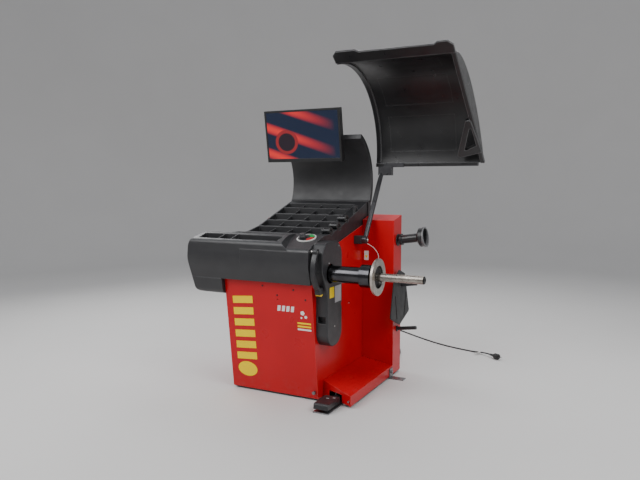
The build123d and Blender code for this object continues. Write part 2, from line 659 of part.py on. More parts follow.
def hood_form(x_from, radius, side):
    """The hood's outer form, or the room inside it when both sizes are reduced."""
    x_to = HOOD_X[1] - side
    depth = 400
    drum = shaft(x_from, x_to + 60, radius, *HOOD_CENTRE)
    top = x_to - depth * math.tan(math.radians(HOOD_TAPER))
    trim = ((-300, 0), (x_to, 0), (top, depth), (-300, depth))
    return drum & (spread_frame(x_to) * extrude(outline(trim), amount=1000, both=True))


def guard_hood():
    """The curved hood, open towards the wheel and at its left end, with turned lips and rims."""
    x_from, x_to = HOOD_X
    body = hood_form(x_from, HOOD_RADIUS, 0) - hood_form(x_from - 5, HOOD_RADIUS - HOOD_SKIN, HOOD_SKIN)
    bead = hood_form(x_from, HOOD_RADIUS - 2, 0) & shaft(x_from, x_from + 28, HOOD_RADIUS, *HOOD_CENTRE)
    body += bead - hood_form(x_from - 5, HOOD_RADIUS - HOOD_SKIN - 8, 0)
    body -= embossing()
    front = arc_point(HOOD_CENTRE, HOOD_RADIUS, HOOD_FRONT_ANGLE)
    back = arc_point(HOOD_CENTRE, HOOD_RADIUS, HOOD_BACK_ANGLE)
    mouth = math.dist(front, back)
    body += spread_frame(x_to) * block(x_to - 17, x_to + 5, -8, 7, -mouth + 4, -2)
    turned = Plane(origin=(0, *front), x_dir=(1, 0, 0), z_dir=(0, -0.628, -0.778))
    edge = ((x_from, -1), (x_from, 50), (x_from + 22, 73), (x_from + 130, 73), (x_from + 148, 60),
            (x_to - 90, 60), (x_to - 74, 73), (x_to - 20, 73), (x_to + 4, 48), (x_to + 4, -1))
    body += extrude(turned * outline(edge), amount=10)
    body += block(x_from, x_to - 8, HOOD_LIP_Y, HOOD_LIP_Y + 20, HOOD_LIP_Z, HOOD_LIP_Z + 22)
    keep("guard_hood", body + hood_handle())


def embossing():
    """Three long shallow panels sunk into the hood's outer face."""
    panels = None
    for middle in (14, 49, 84):
        near = arc_point(HOOD_CENTRE, HOOD_RADIUS + 3, middle - 13)
        top = arc_point(HOOD_CENTRE, HOOD_RADIUS + 3, middle)
        far = arc_point(HOOD_CENTRE, HOOD_RADIUS + 3, middle + 13)
        low = arc_point(HOOD_CENTRE, HOOD_RADIUS - 2, middle)
        low_far = arc_point(HOOD_CENTRE, HOOD_RADIUS - 2, middle + 13)
        low_near = arc_point(HOOD_CENTRE, HOOD_RADIUS - 2, middle - 13)
        edges = [ThreePointArc(near, top, far), Line(far, low_far), ThreePointArc(low_far, low, low_near),
                 Line(low_near, near)]
        panel = Pos(HOOD_X[0] + 90, 0, 0) * extrude(Plane.YZ * make_face(edges), amount=400)
        panels = panel if panels is None else panels + panel
    return panels


def hood_handle():
    """The triangular grip frame across the hood's lower right corner."""
    mouth = Plane(origin=(0, 463, 1521), x_dir=(1, 0, 0), z_dir=hood_frame().y_dir)
    loop = outline(((646, -6), (526, 344), (676, 300)), 16) - outline(((646, 84), (578, 290), (655, 244)), 7)
    return extrude(mouth * loop, amount=-10) + extrude(mouth * loop, amount=12)


def guard_switch_cable():
    """The wire from the hinge block's position switch into the tower."""
    points = ((30, 505, 806), (30, 532, 806), (78, 566, 770),
              (109, 572, 732), (109, 572, 598), (109, 592, 598))
    radii = (24, 40, 60, 12)
    keep("guard_switch_cable", bent_tube(points, radii, 2))


# ---- storage pegs and what hangs on them
def peg_frame(z):
    """Foot of a storage peg: local z runs out along the peg."""
    lean = math.radians(PEG_ANGLE)
    return Plane(origin=(STEP_WIDTH, PEG_Y, z), x_dir=(0, 1, 0), z_dir=(math.cos(lean), 0, math.sin(lean)))


def storage_pegs():
    """Three pegs screwed to the tower's side."""
    pegs = []
    for z, foot_radius in zip(PEG_HEIGHTS, (35, 17, 17)):
        along = (Align.CENTER, Align.CENTER, Align.MIN)
        peg = Cylinder(PEG_RADIUS - 1, PEG_NECK, align=along)
        peg += Pos(0, 0, PEG_NECK) * Cylinder(PEG_RADIUS, PEG_LENGTH - PEG_NECK, align=along)
        peg = peg_frame(z) * peg
        peg &= block(STEP_WIDTH, STEP_WIDTH + 200, 500, 800, 0, 1200)
        peg += rod((STEP_WIDTH, PEG_Y, z), (STEP_WIDTH + 6, PEG_Y, z), foot_radius)
        pegs.append(fillet(peg.faces().sort_by(Axis.X)[-1].edges(), 3))
    keep("storage_pegs", *pegs)


def wheel_clamp():
    """The quick nut hanging on the upper peg, with its pressure cup."""
    place = peg_frame(PEG_HEIGHTS[0]) * Pos(NUT_DROP, 0, 0)
    along = (Align.CENTER, Align.CENTER, Align.MIN)
    nut = Pos(0, 0, 14) * Cylinder(NUT_RADIUS, 108, align=along)
    nut += Pos(0, 0, 14) * Cylinder(34, 14, align=along)
    nut -= Cylinder(SPINDLE_RADIUS + 0.1, 200, align=along)
    keep("quick_nut", place * nut)
    cup = Pos(0, 0, 122.5) * (Cone(32, 55, 16, align=along) - Pos(0, 0, 6) * Cone(26, 51, 16, align=along))
    cup += Pos(0, 0, 138.5) * (Cylinder(56, 24, align=along) - Cylinder(51, 24, align=along))
    cup += Pos(0, 0, 162.5) * (Cylinder(60, 9, align=along) - Cylinder(51, 9, align=along))
    keep("pressure_cup", place * (cup - Cylinder(SPINDLE_RADIUS + 0.1, 200, align=along)))


NUT_RADIUS = 26
NUT_DROP = SPINDLE_RADIUS - PEG_RADIUS - 0.4


def width_caliper():
    """The flat rim-width caliper hanging on the middle peg."""
    plate = prism_x(((610, 640), (710, 605), (794, 365), (622, 307), (467, 373), (519, 580)), 222, 227, 14)
    for middle_y, lean in ((560, 12), (716, -14)):
        slot = Rot(lean, 0, 0) * (block(-6, 6, -5, 5, -70, 70) + rod((-6, 0, 70), (6, 0, 70), 5))
        plate -= Pos(224.5, middle_y, 420) * slot
    hole_z = PEG_HEIGHTS[1] + 25 * math.tan(math.radians(PEG_ANGLE)) - 1.6
    plate -= rod((218, PEG_Y, hole_z), (232, PEG_Y, hole_z), PEG_RADIUS + 2.4)
    plate += rod((227, 690, 560), (237, 690, 560), 12)
    keep("width_caliper", plate)


# ---- mains cord
def mains_cord():
    """Gland, cord with its tag, and the two-pin plug lying behind the machine."""
    x, y, z = CORD_ROUTE[0]
    gland = rod((x, CABINET_DEPTH - 15, z), (x, CABINET_DEPTH, z), 10)
    gland += rod((x, CABINET_DEPTH, z), (x, CABINET_DEPTH + 12, z), 14)
    gland += taper((x, CABINET_DEPTH + 12, z), (x, y, z), 9, 6)
    keep("cord_gland", gland)
    points = [Vector(*point) for point in CORD_ROUTE]
    radii = []
    for before, corner, after in zip(points, points[1:], points[2:]):
        turn = math.radians((corner - before).get_angle(after - corner))
        shorter = min((corner - before).length, (after - corner).length)
        radii.append(0.45 * shorter / math.tan(turn / 2))
    print("cord radii:", [round(radius) for radius in radii])
    path = FilletPolyline(*points, radius=radii)
    section = Plane(origin=path @ 0, z_dir=path % 0) * Circle(CORD_RADIUS)
    cord = sweep(section, path=path)
    print("cord length:", round(path.length), "volume over section:",
          round(cord.volume / (math.pi * CORD_RADIUS ** 2)))
    keep("power_cord", cord)
    end = Plane(origin=path @ 1, x_dir=(0, 0, 1), z_dir=path % 1)
    along = (Align.CENTER, Align.CENTER, Align.MIN)
    plug = Cone(6.5, 9, 30, align=along) + Pos(0, 0, 30) * Cone(11, 18, 14, align=along)
    plug += Pos(0, 0, 44) * Cylinder(18.5, 28, align=along)
    for side in (-9.5, 9.5):
        plug += Pos(0, side, 72) * Cylinder(2.4, 19, align=along)
    keep("power_plug", end * plug)
    middle = (points[-3] + points[-2]) * 0.5
    tag_frame = Plane(origin=middle, x_dir=(points[-2] - points[-3]).cross(Vector(0, 0, 1)),
                      z_dir=points[-2] - points[-3])
    tag = Cylinder(6, 18) + Pos(26, 0, 0) * Box(44, 1.2, 18) - Cylinder(CORD_RADIUS + 0.2, 40)
    keep("cord_tag", tag_frame * tag)


def build_all():
    base_frame()
    floor_feet()
    cabinet_shell()
    rear_cover()
    step_cover()
    guard_tower()
    fasteners()
    head_cover()
    head_tub()
    weight_tray()
    collets()
    back_panel()
    monitor()
    console()
    spindle_group()
    spindle_housing()
    inner_frame()
    drive()
    brake()
    pedal()
    electronics()
    shaft_cover()
    gauge()
    guard_arm()
    guard_hood()
    guard_switch_cable()
    storage_pegs()
    wheel_clamp()
    width_caliper()
    mains_cord()


def write_parts():
    """Shift everything to the middle of the footprint and write one file per node."""
    os.makedirs("parts", exist_ok=True)
    boxes = [shape.bounding_box() for name, shape in nodes.items() if name not in cord_nodes]
    box = boxes[0]
    for other in boxes[1:]:
        box = box.add(other)
    middle = Vector((box.min.X + box.max.X) / 2, (box.min.Y + box.max.Y) / 2, box.min.Z)
    for name, shape in nodes.items():
        export_step(shape.moved(Location(-middle)), f"parts/{name}.step")
    return middle


build_all()
ORIGIN = write_parts()
print("origin in the cabinet's frame:", ORIGIN)
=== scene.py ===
import bpy
import bmesh
import json
import math
from mathutils import Euler, Matrix, Vector


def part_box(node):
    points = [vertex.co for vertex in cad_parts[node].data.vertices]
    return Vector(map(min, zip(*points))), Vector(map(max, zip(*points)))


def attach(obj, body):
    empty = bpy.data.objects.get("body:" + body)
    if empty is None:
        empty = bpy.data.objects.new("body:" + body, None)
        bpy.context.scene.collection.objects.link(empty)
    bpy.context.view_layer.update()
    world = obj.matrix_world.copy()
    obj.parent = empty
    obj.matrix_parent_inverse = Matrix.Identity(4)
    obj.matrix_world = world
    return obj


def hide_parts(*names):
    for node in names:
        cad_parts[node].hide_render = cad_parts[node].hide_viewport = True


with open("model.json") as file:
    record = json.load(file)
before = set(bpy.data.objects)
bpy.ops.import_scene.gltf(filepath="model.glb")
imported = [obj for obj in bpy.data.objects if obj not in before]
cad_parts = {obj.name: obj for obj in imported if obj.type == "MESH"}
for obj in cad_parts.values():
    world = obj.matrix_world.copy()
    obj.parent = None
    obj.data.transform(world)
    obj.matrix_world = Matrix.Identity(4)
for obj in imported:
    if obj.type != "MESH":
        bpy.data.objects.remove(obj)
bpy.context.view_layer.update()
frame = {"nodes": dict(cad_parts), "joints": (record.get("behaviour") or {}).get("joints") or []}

# Looks of the wheel balancer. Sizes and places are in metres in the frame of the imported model;
# at() takes millimetres from the foot of the cabinet's front right corner, as part.py does.
nodes = frame["nodes"]
joints = {joint["name"]: joint for joint in frame["joints"]}
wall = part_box("cabinet_shell")
CORNER = Vector((wall[1][0], wall[1][1] - 0.715, 0))


def at(x, y, z):
    """A place in the row frame from millimetres in the cabinet's frame."""
    return CORNER + Vector((x, y, z)) / 1000


# ---- camera
def add_camera():
    """The photograph's viewpoint: a standing person in front of the machine's right corner."""
    camera = bpy.data.cameras.new("camera")
    camera.lens = 35.44
    camera.sensor_width = 36
    camera.clip_end = 50
    holder = bpy.data.objects.new("camera", camera)
    holder.location = at(1467, -2883, 1160)
    holder.rotation_euler = Euler((math.radians(90 - 5.35), 0, math.radians(26.8)))
    bpy.context.scene.collection.objects.link(holder)
    bpy.context.scene.camera = holder


# ---- mains cord
CORD_ROUTE = (
    (120, 757, 90), (120, 800, 90), (116, 862, 56), (104, 930, 17), (84, 1040, 4.5),
    (44, 1158, 4.5), (-18, 1268, 4.5), (-100, 1362, 4.5), (-186, 1456, 4.5), (-256, 1562, 4.5),
    (-272, 1664, 4.5), (-214, 1718, 4.5), (-146, 1694, 4.5), (-58, 1630, 4.5), (48, 1552, 4.5),
    (156, 1480, 4.5), (246, 1428, 4.5), (338, 1386, 4.5), (430, 1356, 4.5), (515, 1334, 4.5),
    (594, 1290, 18.4), (634, 1262, 19),
)


def add_cord():
    """The mains cord on the floor behind the machine."""
    curve = bpy.data.curves.new("mains_cord", "CURVE")
    curve.dimensions = "3D"
    curve.bevel_depth = 0.0045
    curve.bevel_resolution = 6
    curve.resolution_u = 24
    spline = curve.splines.new("NURBS")
    spline.points.add(len(CORD_ROUTE) - 1)
    for point, place in zip(spline.points, CORD_ROUTE):
        point.co = (*at(*place), 1)
    spline.order_u = 3
    spline.use_endpoint_u = True
    cord = bpy.data.objects.new("mains_cord", curve)
    bpy.context.scene.collection.objects.link(cord)
    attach(cord, "frame")
    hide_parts("power_cord")
    return cord


# ---- material building blocks
class Shading:
    """A material's node tree with a few short ways to add nodes."""

    def __init__(self, name):
        self.material = bpy.data.materials.new(name)
        self.material.use_nodes = True
        self.tree = self.material.node_tree
        self.shader = self.tree.nodes["Principled BSDF"]
        self.place = self.tree.nodes.new("ShaderNodeTexCoord").outputs["Object"]

    def link(self, out, into):
        self.tree.links.new(out, into)

    def set(self, **values):
        """Constants on the shader's own sockets; underscores stand for spaces."""
        for name, value in values.items():
            self.shader.inputs[name.replace("_", " ")].default_value = value

    def stretched(self, scale):
        """Object coordinates scaled by a different amount along each axis."""
        node = self.tree.nodes.new("ShaderNodeMapping")
        node.inputs["Scale"].default_value = scale
        self.link(self.place, node.inputs["Vector"])
        return node.outputs["Vector"]

    def noise(self, scale, detail=3, stretch=None):
        node = self.tree.nodes.new("ShaderNodeTexNoise")
        node.inputs["Scale"].default_value = scale
        node.inputs["Detail"].default_value = detail
        self.link(self.stretched(stretch) if stretch else self.place, node.inputs["Vector"])
        return node.outputs["Fac"]

    def remap(self, value, low, high, to_low=0.0, to_high=1.0):
        node = self.tree.nodes.new("ShaderNodeMapRange")
        for name, number in (("From Min", low), ("From Max", high), ("To Min", to_low), ("To Max", to_high)):
            node.inputs[name].default_value = number
        self.link(value, node.inputs["Value"])
        return node.outputs["Result"]

    def maths(self, operation, first, second=0.0):
        node = self.tree.nodes.new("ShaderNodeMath")
        node.operation = operation
        for socket, value in zip(node.inputs, (first, second)):
            if isinstance(value, (int, float)):
                socket.default_value = value
            else:
                self.link(value, socket)
        return node.outputs["Value"]

    def axis(self, letter):
        node = self.tree.nodes.new("ShaderNodeSeparateXYZ")
        self.link(self.place, node.inputs["Vector"])
        return node.outputs[letter]

    def blend(self, amount, first, second):
        """One of two colours or colour outputs by an amount from 0 to 1."""
        node = self.tree.nodes.new("ShaderNodeMix")
        node.data_type = "RGBA"
        for socket, value in ((node.inputs[6], first), (node.inputs[7], second)):
            if isinstance(value, tuple):
                socket.default_value = (*value, 1)
            else:
                self.link(value, socket)
        self.link(amount, node.inputs["Factor"])
        return node.outputs[2]

    def edges(self, radius):
        """How near a place is to an outer or inner edge, from 0 to 1."""
        bevel = self.tree.nodes.new("ShaderNodeBevel")
        bevel.samples = 6
        bevel.inputs["Radius"].default_value = radius
        facing = self.tree.nodes.new("ShaderNodeVectorMath")
        facing.operation = "DOT_PRODUCT"
        self.link(bevel.outputs["Normal"], facing.inputs[0])
        self.link(self.tree.nodes.new("ShaderNodeNewGeometry").outputs["Normal"], facing.inputs[1])
        return self.remap(facing.outputs["Value"], 0.99, 0.78)

    def reach(self, first, second):
        """Length of the sloping side over two outputs at right angles."""
        squares = [self.maths("MULTIPLY", side, side) for side in (first, second)]
        return self.maths("SQRT", self.maths("ADD", *squares))

    def from_axis(self, centre):
        """Distance from a line along X through a place."""
        across = self.maths("SUBTRACT", self.axis("Y"), centre.y)
        up = self.maths("SUBTRACT", self.axis("Z"), centre.z)
        return self.reach(across, up)

    def colour(self, out):
        self.link(out, self.shader.inputs["Base Color"])

    def rough(self, out):
        self.link(out, self.shader.inputs["Roughness"])

    def relief(self, height, strength, distance=0.001, rounding=0.0):
        """Bump from a height, over edges rounded by some metres."""
        bump = self.tree.nodes.new("ShaderNodeBump")
        bump.inputs["Strength"].default_value = strength
        bump.inputs["Distance"].default_value = distance
        self.link(height, bump.inputs["Height"])
        if rounding:
            bevel = self.tree.nodes.new("ShaderNodeBevel")
            bevel.samples = 6
            bevel.inputs["Radius"].default_value = rounding
            self.link(bevel.outputs["Normal"], bump.inputs["Normal"])
        self.link(bump.outputs["Normal"], self.shader.inputs["Normal"])


def plain(name, colour, other, roughness, grain, strength, rounding=0.0015, edge=None, **constants):
    """A moulded or painted surface: mottled colour, a painted highlight along its edges, uneven gloss and
    fine grain.
    """
    shading = Shading(name)
    mottle = shading.remap(shading.noise(9, 4), 0.3, 0.7)
    surface = shading.blend(mottle, colour, other)
    # Painted highlight: near edges the colour is blended towards the lighter edge colour, standing in for
    # light caught by rounded edges.
    if edge:
        surface = shading.blend(shading.edges(rounding), surface, edge)
    shading.colour(surface)
    fine = shading.noise(grain, 2)
    shading.rough(shading.remap(shading.noise(26, 3), 0.3, 0.7, roughness - 0.05, roughness + 0.06))
    shading.set(**constants)
    shading.relief(fine, strength, 0.0006, rounding)
    return shading.material


def red_paint():
    """Glossy red powder coat with a painted highlight along its folds and floor dust near its foot."""
    shading = Shading("red_paint")
    mottle = shading.remap(shading.noise(3, 3), 0.3, 0.7)
    base = shading.blend(mottle, (0.46, 0.003, 0.007), (0.54, 0.004, 0.010))
    # Painted highlight: edges are blended halfway towards pale red, standing in for light on the folded
    # sheet edges.
    base = shading.blend(shading.maths("MULTIPLY", shading.edges(0.003), 0.5), base, (0.85, 0.16, 0.14))
    low = shading.remap(shading.axis("Z"), 0.01, 0.16, 1.0, 0.0)
    dust = shading.maths("MULTIPLY", low, shading.remap(shading.noise(30, 5), 0.5, 0.8, 0.0, 0.3))
    shading.colour(shading.blend(dust, base, (0.34, 0.12, 0.09)))
    uneven = shading.remap(shading.noise(7, 3), 0.3, 0.7, 0.27, 0.35)
    shading.rough(shading.maths("ADD", uneven, shading.maths("MULTIPLY", dust, 0.5)))
    shading.set(Specular_IOR_Level=0.28, Coat_Weight=0.07, Coat_Roughness=0.2)
    shading.relief(shading.noise(9, 1), 0.02, 0.0005, 0.0025)
    return shading.material


def turned_steel(name, colour, other, roughness, grooves, strength, rounding=0.001):
    """Steel turned about X: fine rings along its length, stains and worn patches."""
    shading = Shading(name)
    stains = shading.remap(shading.noise(30, 5), 0.35, 0.7)
    shading.colour(shading.blend(stains, colour, other))
    rings = shading.noise(grooves, 2, (1, 0.01, 0.01))
    shading.rough(shading.remap(rings, 0.3, 0.7, roughness - 0.07, roughness + 0.09))
    shading.set(Metallic=1.0)
    shading.relief(rings, strength, 0.0004, rounding)
    return shading.material


def spindle_steel():
    """Ground steel with a trapezoid thread of 3 mm pitch along its outer half and a dark end."""
    shading = Shading("spindle_steel")
    stains = shading.remap(shading.noise(24, 5), 0.35, 0.75)
    bare = shading.blend(stains, (0.52, 0.48, 0.43), (0.30, 0.27, 0.24))
    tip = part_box("spindle")[1][0]
    end = shading.remap(shading.axis("X"), tip - 0.0065, tip - 0.0055)
    shading.colour(shading.blend(end, bare, (0.03, 0.03, 0.03)))
    shading.rough(shading.remap(shading.noise(90, 3), 0.3, 0.7, 0.22, 0.42))
    turn = 2 * math.pi / 0.003
    thread = shading.maths("SINE", shading.maths("MULTIPLY", shading.axis("X"), turn))
    start = at(345, 0, 0).x
    outer = shading.remap(shading.axis("X"), start, start + 0.004)
    shading.set(Metallic=1.0)
    shading.relief(shading.maths("MULTIPLY", thread, outer), 0.5, 0.0012, 0.001)
    return shading.material


def flange_steel():
    """Turned face plate: bright worn rim round a recess painted near-black as painted shade."""
    shading = Shading("flange_steel")
    low, high = (Vector(corner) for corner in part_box("wheel_flange"))
    away = shading.from_axis((low + high) / 2)
    stains = shading.remap(shading.noise(30, 5), 0.35, 0.7)
    rim = shading.blend(stains, (0.60, 0.56, 0.51), (0.40, 0.36, 0.32))
    # Painted shade: inside a radius of 56 mm the face is near-black, standing in for shade in the recess
    # round the spindle.
    shading.colour(shading.blend(shading.remap(away, 0.056, 0.058), (0.045, 0.045, 0.048), rim))
    rings = shading.maths("SINE", shading.maths("MULTIPLY", away, 9000))
    shading.rough(shading.remap(rings, -1, 1, 0.24, 0.40))
    shading.set(Metallic=1.0)
    shading.relief(rings, 0.1, 0.0003, 0.002)
    return shading.material


def cup_plastic():
    """Black bell with a pale ring round its mouth."""
    shading = Shading("cup_plastic")
    low, high = (Vector(corner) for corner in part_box("pressure_cup"))
    rim = shading.remap(shading.axis("X"), high.x - 0.020, high.x - 0.018)
    surface = shading.blend(shading.noise(30, 3), (0.014, 0.014, 0.015), (0.024, 0.024, 0.026))
    shading.colour(shading.blend(rim, surface, (0.16, 0.16, 0.165)))
    shading.rough(shading.remap(shading.noise(40, 3), 0.3, 0.7, 0.28, 0.42))
    shading.relief(shading.noise(600, 2), 0.1, 0.0004, 0.003)
    return shading.material


def hood_plastic():
    """Dark vacuum-formed sheet, smoother than the other mouldings, with a painted highlight along its edges
    and rims.
    """
    shading = Shading("hood_plastic")
    mottle = shading.remap(shading.noise(6, 3), 0.3, 0.7)
    sheet = shading.blend(mottle, (0.008, 0.008, 0.009), (0.014, 0.014, 0.015))
    # Painted highlight: edges and rims are blended towards grey, standing in for light on the lip, rims and
    # handle.
    shading.colour(shading.blend(shading.edges(0.008), sheet, (0.17, 0.17, 0.175)))
    shading.rough(shading.remap(shading.noise(20, 4), 0.3, 0.7, 0.27, 0.38))
    shading.relief(shading.noise(700, 2), 0.06, 0.0005, 0.008)
    return shading.material


def lit_screen():
    """A lit display with a generic dark red picture: sweeping bands and a round shape."""
    shading = Shading("lit_screen")
    low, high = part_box("monitor_screen")
    across = shading.remap(shading.axis("X"), low[0], high[0])
    up = shading.remap(shading.axis("Z"), low[2], high[2])
    sweep = shading.maths("ADD", shading.maths("MULTIPLY", across, 1.3), shading.maths("MULTIPLY", up, 2.2))
    bands = shading.maths("SINE", shading.maths("MULTIPLY", sweep, 5.2))
    glow = shading.maths("MULTIPLY", shading.remap(bands, 0.1, 1.0), shading.remap(across, 0.95, 0.35))
    picture = shading.blend(glow, (0.004, 0.008, 0.022), (0.55, 0.02, 0.015))
    side = shading.maths("SUBTRACT", across, 0.27)
    height = shading.maths("MULTIPLY", shading.maths("SUBTRACT", up, 0.36), 0.62)
    radius = shading.reach(side, height)
    inside = shading.remap(radius, 0.165, 0.155)
    ring = shading.maths("MULTIPLY", inside, shading.remap(radius, 0.115, 0.125))
    picture = shading.blend(inside, picture, (0.012, 0.006, 0.008))
    picture = shading.blend(ring, picture, (0.20, 0.012, 0.012))
    shading.link(picture, shading.shader.inputs["Emission Color"])
    shading.set(Emission_Strength=1.6, Roughness=0.12, Specular_IOR_Level=0.6)
    shading.colour(shading.blend(shading.noise(30, 2), (0.004, 0.005, 0.010), (0.006, 0.007, 0.012)))
    shading.relief(shading.noise(900, 1), 0.02, 0.0002)
    return shading.material


RIM_START = 0.0462
RIM_BLEND = 0.0008


def ring_white():
    """The control ring: a white rim round a dark centre."""
    shading = Shading("ring_white")
    low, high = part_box("control_ring")
    middle = [(low[axis] + high[axis]) / 2 for axis in range(3)]
    across = shading.maths("SUBTRACT", shading.axis("X"), middle[0])
    deep = shading.maths("MULTIPLY", shading.maths("SUBTRACT", shading.axis("Y"), middle[1]), 1.04)
    rim = shading.remap(shading.reach(across, deep), RIM_START, RIM_START + RIM_BLEND)
    white = shading.blend(shading.noise(60, 3), (0.62, 0.62, 0.60), (0.72, 0.72, 0.70))
    shading.colour(shading.blend(rim, (0.020, 0.020, 0.022), white))
    shading.rough(shading.remap(shading.noise(40, 3), 0.3, 0.7, 0.3, 0.42))
    shading.relief(shading.noise(500, 2), 0.05, 0.0004, 0.0015)
    return shading.material


def lever_plastic():
    """Black lever with a small yellow mark at its low round end."""
    shading = Shading("lever_plastic")
    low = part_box("gauge_lever")[0][2]
    mark = shading.remap(shading.axis("Z"), low + 0.008, low + 0.010, 1.0, 0.0)
    shading.colour(shading.blend(mark, (0.018, 0.018, 0.020), (0.75, 0.50, 0.02)))
    shading.rough(shading.remap(shading.noise(40, 3), 0.3, 0.7, 0.35, 0.5))
    shading.relief(shading.noise(800, 2), 0.15, 0.0004, 0.003)
    return shading.material


def board_green():
    """Circuit board with pale tracks."""
    shading = Shading("board_green")
    tracks = shading.remap(shading.noise(160, 1), 0.5, 0.52)
    shading.colour(shading.blend(tracks, (0.012, 0.10, 0.03), (0.03, 0.20, 0.07)))
    shading.rough(shading.remap(shading.noise(80, 2), 0.3, 0.7, 0.3, 0.45))
    shading.relief(tracks, 0.2, 0.0002, 0.0005)
    return shading.material


def floor_concrete():
    """Plain pale floor."""
    shading = Shading("floor")
    shading.colour(shading.blend(shading.noise(1.5, 4), (0.62, 0.61, 0.60), (0.66, 0.65, 0.64)))
    shading.set(Roughness=0.75)
    return shading.material


def paint(names, material):
    """Puts one material on every slot of the named CAD nodes."""
    for name in names.split():
        mesh = nodes[name].data
        if not mesh.materials:
            mesh.materials.append(material)
        for number in range(len(mesh.materials)):
            mesh.materials[number] = material


def finish_metals():
    """Materials of the painted sheet and the metal nodes."""
    paint("cabinet_shell guard_tower step_cover rear_cover", red_paint())
    paint("hub_sleeve", turned_steel("hub_black", (0.055, 0.055, 0.06), (0.08, 0.08, 0.085), 0.17, 500, 0.1,
                                     0.002))
    paint("wheel_flange", flange_steel())
    paint("spindle", spindle_steel())
    bright = turned_steel("bright_steel", (0.62, 0.61, 0.59), (0.45, 0.43, 0.41), 0.26, 600, 0.15)
    paint("gauge_rod gauge_rail knob_shaft brake_disc spindle_bearings force_sensors", bright)
    # The pale grey edge colour is a painted highlight on the collets' edges.
    black = plain("collet_black", (0.014, 0.014, 0.015), (0.030, 0.030, 0.032), 0.26, 500, 0.1, 0.003,
                  (0.25, 0.25, 0.25), Metallic=0.4)
    paint("collets", black)
    grey = plain("grey_steel", (0.30, 0.30, 0.31), (0.22, 0.22, 0.23), 0.38, 300, 0.15, 0.0015, Metallic=0.9)
    paint("anchor_bracket pedal_base screws_and_bolts", grey)
    tube = plain("arm_paint", (0.05, 0.05, 0.055), (0.08, 0.08, 0.085), 0.3, 400, 0.1, 0.002, Metallic=0.6)
    paint("guard_arm", tube)
    cast = plain("cast_black", (0.022, 0.022, 0.024), (0.034, 0.034, 0.036), 0.5, 260, 0.4, 0.003)
    paint("guard_hinge_block base_frame inner_frame monitor_arm", cast)
    paint("spindle_housing brake_caliper encoder_disc", cast)
    alloy = plain("alloy", (0.55, 0.55, 0.56), (0.42, 0.42, 0.43), 0.38, 200, 0.25, 0.0015, Metallic=1.0)
    paint("drive_motor motor_pulley spindle_pulley power_supply gauge_slide", alloy)


def finish_mouldings():
    """Materials of the black mouldings."""
    # The lighter edge colour is a painted highlight on the moulded edges.
    texture = plain("black_texture", (0.020, 0.020, 0.022), (0.028, 0.028, 0.030), 0.40, 900, 0.22, 0.006,
                    (0.085, 0.085, 0.09))
    paint("head_cover head_tub shaft_cover", texture)
    # The lighter edge colour is a painted highlight on the tray's rails and rims.
    tray = plain("tray_plastic", (0.016, 0.016, 0.018), (0.024, 0.024, 0.026), 0.42, 800, 0.2, 0.004,
                 (0.12, 0.12, 0.125))
    paint("weight_tray", tray)
    # The lighter edge colour is a painted highlight on the panel's edges.
    panel = plain("panel_plastic", (0.026, 0.026, 0.028), (0.036, 0.036, 0.038), 0.5, 800, 0.25, 0.004,
                  (0.09, 0.09, 0.095))
    paint("back_panel", panel)
    paint("guard_hood", hood_plastic())
    bezel = plain("bezel_plastic", (0.012, 0.012, 0.013), (0.018, 0.018, 0.019), 0.33, 900, 0.12, 0.002)
    paint("monitor_housing mains_switch cord_gland", bezel)
    tool = plain("tool_black", (0.016, 0.016, 0.018), (0.028, 0.028, 0.030), 0.34, 500, 0.2, 0.002)
    paint("quick_nut storage_pegs brake_pedal", tool)
    paint("pressure_cup", cup_plastic())
    matte = plain("caliper_black", (0.008, 0.008, 0.009), (0.013, 0.013, 0.014), 0.5, 500, 0.15)
    paint("width_caliper", matte)
    paint("gauge_lever", lever_plastic())
    rubber = plain("rubber_black", (0.014, 0.014, 0.014), (0.026, 0.026, 0.026), 0.6, 600, 0.3, 0.0015)
    paint("floor_feet collet_rings power_plug brake_cable brake_pad drive_belt", rubber)
    return rubber


def finish_controls():
    """Materials of the screen, the controls, the board and the pale cable and tag."""
    paint("monitor_screen", lit_screen())
    paint("control_ring", ring_white())
    knob = plain("knob_plastic", (0.035, 0.035, 0.038), (0.05, 0.05, 0.053), 0.38, 700, 0.2, 0.002)
    paint("control_knob", knob)
    paint("start_button", plain("green_button", (0.01, 0.26, 0.06), (0.015, 0.32, 0.08), 0.3, 400, 0.05))
    paint("stop_button", plain("red_button", (0.42, 0.008, 0.008), (0.52, 0.012, 0.01), 0.3, 400, 0.05))
    paint("circuit_board", board_green())
    pale = plain("pale_plastic", (0.62, 0.61, 0.58), (0.72, 0.71, 0.68), 0.4, 300, 0.1, 0.0005)
    paint("guard_switch_cable cord_tag", pale)


# ---- small pieces
def piece(name, mesh_maker, material, body):
    """A new mesh object built by a function of a bmesh, riding on a body."""
    shape = bmesh.new()
    mesh_maker(shape)
    bmesh.ops.recalc_face_normals(shape, faces=shape.faces)
    mesh = bpy.data.meshes.new(name)
    shape.to_mesh(mesh)
    shape.free()
    mesh.materials.append(material)
    thing = bpy.data.objects.new(name, mesh)
    bpy.context.scene.collection.objects.link(thing)
    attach(thing, body)
    return thing


def plate(shape, corners, normal, thickness):
    """A thin closed plate over corner points, raised along its normal."""
    low = [shape.verts.new(corner) for corner in corners]
    high = [shape.verts.new(corner + normal * thickness) for corner in corners]
    shape.faces.new(low)
    shape.faces.new(list(reversed(high)))
    for number in range(len(corners)):
        after = (number + 1) % len(corners)
        shape.faces.new((low[number], low[after], high[after], high[number]))


FRONT_FOOT = (0, 12)
FRONT_TOP = (-75, 626)
FRONT_NORMAL = Vector((0, -(FRONT_TOP[1] - FRONT_FOOT[1]), FRONT_TOP[0] - FRONT_FOOT[0])).normalized()


